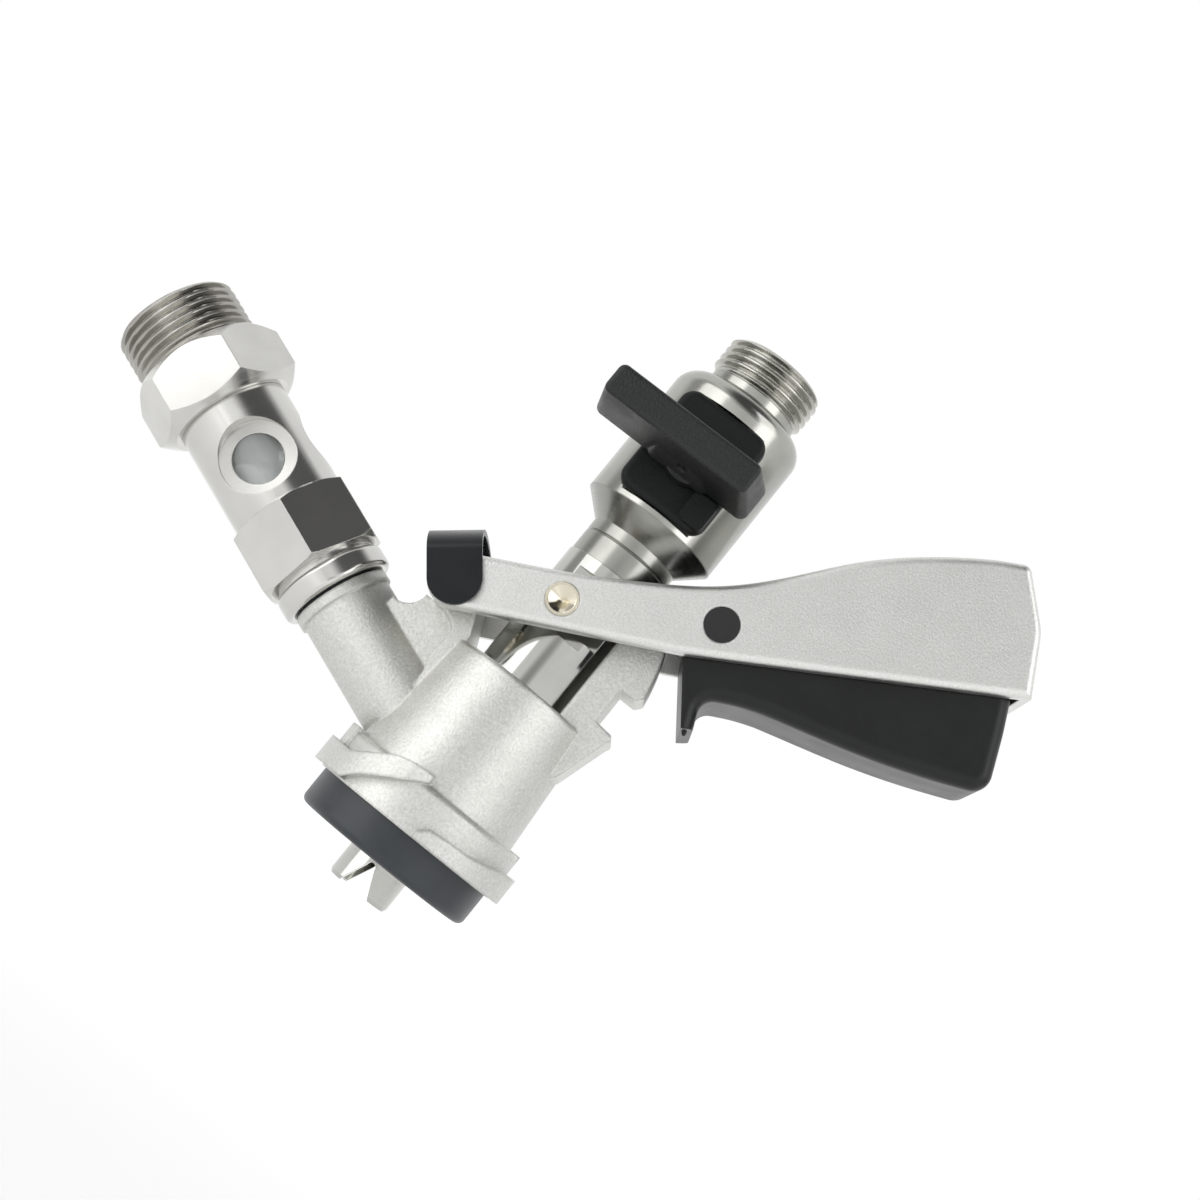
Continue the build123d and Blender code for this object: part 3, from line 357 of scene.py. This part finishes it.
def thread_rings(start, end, major_r, root_r):
    """Rings of a pipe thread from its run-out to the chamfered end."""
    pitch = 1.814
    depth = 0.64 * pitch
    steps = 12
    run_out_len = 1.2
    chamfer_len = 0.9
    chamfer_slope = 1.1
    root_share = 0.10
    flank_share = 0.72
    count = round((end - start) / pitch * steps)
    rings = []
    for index in range(count + 1):
        along = start + (end - start) * index / count

        def radius(angle, along=along):
            phase = ((along - start) / pitch - angle / (2 * pi)) % 1.0
            crest = 1.0 - abs(2.0 * phase - 1.0)
            crest = min(max((crest - root_share) / flank_share, 0.0), 1.0)
            crest = crest * crest * (3.0 - 2.0 * crest) * 0.5 + crest * 0.5
            reach = major_r - depth + depth * crest
            run_out = min((along - start) / run_out_len, 1.0)
            reach = root_r + (reach - root_r) * run_out
            return min(reach, major_r - max(along - (end - chamfer_len), 0.0) * chamfer_slope)

        rings.append((along, radius))
    return rings


# Beer outlet: plug, neck and cut thread
outlet_bore_r = 6.5
outlet_plug_r = 8.9
outlet_plug_low = 102.45
outlet_neck_r = 10.5
outlet_neck_edge_r = 10.3
outlet_major_r = 11.4555
outlet_end = 122.6
outlet_rings = [
    (outlet_plug_low, plain(outlet_bore_r)),
    (outlet_plug_low, plain(outlet_plug_r)),
    (111.95, plain(outlet_plug_r)),
    (112.02, plain(outlet_neck_edge_r)),
    (112.3, plain(outlet_neck_r)),
    (114.0, plain(outlet_neck_r)),
    (114.3, plain(outlet_neck_edge_r)),
]
outlet_start = len(outlet_rings)
outlet_rings += thread_rings(114.4, outlet_end, outlet_major_r, outlet_neck_edge_r)
outlet_span = (outlet_start, len(outlet_rings))
outlet_rings += [(outlet_end, plain(7.4)), (122.2, plain(outlet_bore_r))]
outlet_piece = ring_stack("outlet_thread", Vector((0, 0, 0)), Z_AXIS, X_AXIS, outlet_rings, 120,
                          (valve_steel, outlet_steel), outlet_span)
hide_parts("outlet_nipple")
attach(outlet_piece, "slider")

# Gas inlet: plug, upper hexagon, relief and cut thread
inlet_plug_low = 86.5
inlet_plug_r = 7.9
inlet_way_r = 6.8
inlet_pocket_r = 8.4
inlet_bore_r = 9.0
inlet_bore_step = 109.7
inlet_root_r = 12.06
inlet_major_r = 13.22
inlet_end = 114.3
hex_across_flats = 29.1
hex_turn = radians(22.5)
hex_foot_r = 13.2
hex_foot_len = 2.75
hex_shoulder_r = 14.2
hex_shoulder_len = 3.0
inlet_rings = [
    (inlet_plug_low, plain(inlet_way_r)),
    (inlet_plug_low, plain(inlet_plug_r)),
    (88.8, plain(inlet_plug_r)),
]
inlet_rings += hexagon_rings(hex_across_flats, hex_turn, 88.85, hex_foot_r, hex_foot_len,
                             102.4, hex_shoulder_r, hex_shoulder_len)
inlet_rings += [(102.45, plain(12.1)), (103.2, plain(11.9)), (103.3, plain(inlet_root_r))]
inlet_start = len(inlet_rings)
inlet_rings += thread_rings(103.4, inlet_end, inlet_major_r, inlet_root_r)
inlet_span = (inlet_start, len(inlet_rings))
inlet_rings += [
    (inlet_end, plain(9.8)),
    (113.5, plain(inlet_bore_r)),
    (inlet_bore_step, plain(inlet_bore_r)),
    (inlet_bore_step, plain(inlet_pocket_r)),
    (96.0, plain(inlet_pocket_r)),
    (95.9, plain(inlet_way_r)),
]
inlet_piece = ring_stack("inlet_thread", gas_root, gas_dir, FRONT, inlet_rings, 144,
                         (gas_steel, inlet_steel), inlet_span)
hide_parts("gas_nipple")
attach(inlet_piece, "body")


# Torn gate mark under the finger guard
def torn_stub(name, place, out, foot_r, tip_r, height):
    """Uneven cone with softened edges, standing out of a surface. Sizes and place are in mm."""
    mesh = bpy.data.meshes.new(name)
    turn = Vector((0, 0, 1)).rotation_difference(out).to_matrix().to_4x4()
    work = bmesh.new()
    bmesh.ops.create_cone(work, cap_ends=True, segments=9, radius1=foot_r * MM, radius2=tip_r * MM,
                          depth=height * MM)
    for count, vertex in enumerate(work.verts):
        vertex.co.x *= 1.0 + 0.16 * sin(2.3 * count)
        vertex.co.z += 0.12 * MM * sin(1.7 * count)
    bmesh.ops.bevel(work, geom=list(work.edges), offset=0.08 * MM, segments=1, affect="EDGES")
    bmesh.ops.transform(work, matrix=Matrix.Translation(place * MM) @ turn, verts=work.verts)
    work.to_mesh(mesh)
    work.free()
    mark_sharp(mesh, 50)
    return mesh


guard_tip = hinge + lever_along * 49.7 - lever_over * 21.1 + Vector((0.0, -8.0, 0.0))
mark_mesh = torn_stub("guard_gate_mark", guard_tip, -lever_over, 0.7, 0.35, 1.3)
mark_mesh.materials.append(trigger_plastic)
mark_piece = link_piece("guard_gate_mark", mark_mesh)
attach(mark_piece, "trigger")


# Gas check spring: an open coil between the spider and the poppet
def gas_coil(name, low, length, mean_r, wire_r, turns):
    """Round wire wound about the gas axis from a distance along it, in metres."""
    steps = 32 * turns
    sides = 10
    across = gas_dir.cross(FRONT)
    points = []
    for step in range(steps + 1):
        turned_by = 2 * pi * turns * step / steps
        out_dir = FRONT * cos(turned_by) + across * sin(turned_by)
        place = low + wire_r + (length - 2 * wire_r) * step / steps
        centre = gas_root + gas_dir * place + out_dir * mean_r
        for count in range(sides):
            angle = 2 * pi * count / sides
            points.append(centre + (out_dir * cos(angle) + gas_dir * sin(angle)) * wire_r)
    faces = []
    for step in range(steps):
        near = step * sides
        far = near + sides
        for count in range(sides):
            following = (count + 1) % sides
            faces.append((near + count, near + following, far + following, far + count))
    faces.append(tuple(range(sides)))
    faces.append(tuple(steps * sides + count for count in reversed(range(sides))))
    mesh = bpy.data.meshes.new(name)
    mesh.from_pydata(points, [], faces)
    mark_sharp(mesh, 50)
    return mesh


spring_places = [gas_dir.dot(vertex.co - gas_root) for vertex in nodes["gas_check_spring"].data.vertices]
spring_low = min(spring_places)
spring_len = max(spring_places) - spring_low
coil_mesh = gas_coil("check_spring_coil", spring_low, spring_len, 2.95 * MM, 0.45 * MM, 4)
coil_mesh.materials.append(spring_steel)
coil_piece = link_piece("check_spring_coil", coil_mesh)
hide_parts("gas_check_spring")
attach(coil_piece, "body")
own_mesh(coil_piece)

# Floor: lit as it is, and lifted towards white where it is seen, more so further out
floor_half = 6.0
floor_z = -0.14
floor_corners = [(-floor_half, -floor_half, floor_z), (floor_half, -floor_half, floor_z),
                 (floor_half, floor_half, floor_z), (-floor_half, floor_half, floor_z)]
floor_mesh = bpy.data.meshes.new("floor")
floor_mesh.from_pydata(floor_corners, [], [(0, 1, 2, 3)])
floor = link_piece("floor", floor_mesh)
floor_mat, floor_nodes, floor_links, floor_shader = new_material("floor", (0.82, 0.82, 0.82), 0.9)
floor_place = floor_nodes.new("ShaderNodeVectorMath")
floor_place.operation = "LENGTH"
floor_links.new(object_space(floor_nodes), floor_place.inputs[0])
floor_lift = floor_nodes.new("ShaderNodeMapRange")
floor_lift.interpolation_type = "SMOOTHSTEP"
floor_lift.inputs["From Min"].default_value = 0.15
floor_lift.inputs["From Max"].default_value = 0.9
floor_lift.inputs["To Min"].default_value = 0.38
floor_lift.inputs["To Max"].default_value = 0.65
floor_links.new(floor_place.outputs["Value"], floor_lift.inputs["Value"])
floor_seen = any_ray(floor_nodes, floor_links, ("Is Camera Ray", "Is Glossy Ray", "Is Transmission Ray"))
lift_seen = floor_nodes.new("ShaderNodeMath")
lift_seen.operation = "MULTIPLY"
floor_links.new(floor_lift.outputs["Result"], lift_seen.inputs[0])
floor_links.new(floor_seen, lift_seen.inputs[1])
floor_links.new(lift_seen.outputs["Value"], floor_shader.inputs["Emission Strength"])
floor_shader.inputs["Emission Color"].default_value = (1, 1, 1, 1)
floor_mesh.materials.append(floor_mat)

# World
world = bpy.data.worlds.new("studio")
world.use_nodes = True
bpy.context.scene.world = world
world_nodes = world.node_tree.nodes
world_links = world.node_tree.links
sky_space = world_nodes.new("ShaderNodeTexCoord")


def sky_patch(direction, inner, outer, inside, outside):
    """Tone of the room that changes smoothly with the angle from a direction."""
    toward = world_nodes.new("ShaderNodeVectorMath")
    toward.operation = "DOT_PRODUCT"
    toward.inputs[1].default_value = Vector(direction).normalized()
    world_links.new(sky_space.outputs["Generated"], toward.inputs[0])
    spread = world_nodes.new("ShaderNodeMapRange")
    spread.interpolation_type = "SMOOTHSTEP"
    spread.inputs["From Min"].default_value = cos(radians(outer))
    spread.inputs["From Max"].default_value = cos(radians(inner))
    spread.inputs["To Min"].default_value = outside
    spread.inputs["To Max"].default_value = inside
    world_links.new(toward.outputs["Value"], spread.inputs["Value"])
    return spread.outputs["Result"]


def sky_product(tones):
    """All the tones multiplied together."""
    total = tones[0]
    for tone in tones[1:]:
        times = world_nodes.new("ShaderNodeMath")
        times.operation = "MULTIPLY"
        world_links.new(total, times.inputs[0])
        world_links.new(tone, times.inputs[1])
        total = times.outputs["Value"]
    return total


def blend_rooms(choice, first, second):
    """The first room where the choice is zero, and the second where it is one."""
    mix = world_nodes.new("ShaderNodeMixShader")
    world_links.new(choice, mix.inputs["Fac"])
    world_links.new(first, mix.inputs[1])
    world_links.new(second, mix.inputs[2])
    return mix.outputs["Shader"]


# The room that lights the part: brighter above, and dimmer below
soft_room = world_nodes["Background"]
world_links.new(sky_patch((0, 0, 1), 20, 150, 1.0, 0.55), soft_room.inputs["Color"])
soft_room.inputs["Strength"].default_value = 0.55

# The room that gloss and glass show: white all round, with dark flags in four directions
flags = [
    sky_patch((0.134, -0.527, 0.838), 24, 46, 0.10, 1.0),
    sky_patch((0.05, -1.0, -0.12), 8, 20, 0.30, 1.0),
    sky_patch((-0.95, -0.25, 0.2), 14, 34, 0.45, 1.0),
    sky_patch((0.9, 0.3, -0.2), 12, 30, 0.25, 1.0),
]
seen_room = world_nodes.new("ShaderNodeBackground")
world_links.new(sky_product(flags), seen_room.inputs["Color"])
seen_room.inputs["Strength"].default_value = 1.0

# The white background itself
white_back = world_nodes.new("ShaderNodeBackground")
white_back.inputs["Color"].default_value = (1, 1, 1, 1)
gloss_ray = any_ray(world_nodes, world_links, ("Is Glossy Ray", "Is Transmission Ray"))
camera_ray = any_ray(world_nodes, world_links, ("Is Camera Ray",))
rooms = blend_rooms(gloss_ray, soft_room.outputs["Background"], seen_room.outputs["Background"])
whole = blend_rooms(camera_ray, rooms, white_back.outputs["Background"])
world_links.new(whole, world_nodes["World Output"].inputs["Surface"])


# Lamps
def area_lamp(name, place, aim, size, power):
    lamp = bpy.data.objects.new(name, bpy.data.lights.new(name, "AREA"))
    lamp.data.shape = "RECTANGLE"
    lamp.data.size = size[0]
    lamp.data.size_y = size[1]
    lamp.data.energy = power
    lamp.location = place
    lamp.rotation_euler = (aim - place).to_track_quat("-Z", "Y").to_euler()
    bpy.context.scene.collection.objects.link(lamp)


def from_view(x, y, z):
    """Place given in the camera's own directions about the part, in metres."""
    return cam_target + right * x + up * y + back * z


area_lamp("key", from_view(-0.35, 0.55, 0.35), cam_target, (0.6, 0.6), 1.7)
area_lamp("fill", from_view(0.6, 0.1, 0.35), cam_target, (0.4, 0.7), 1.5)
area_lamp("side", from_view(-0.6, -0.2, 0.3), cam_target, (0.5, 0.7), 1.0)

bpy.context.scene.view_settings.view_transform = "Standard"
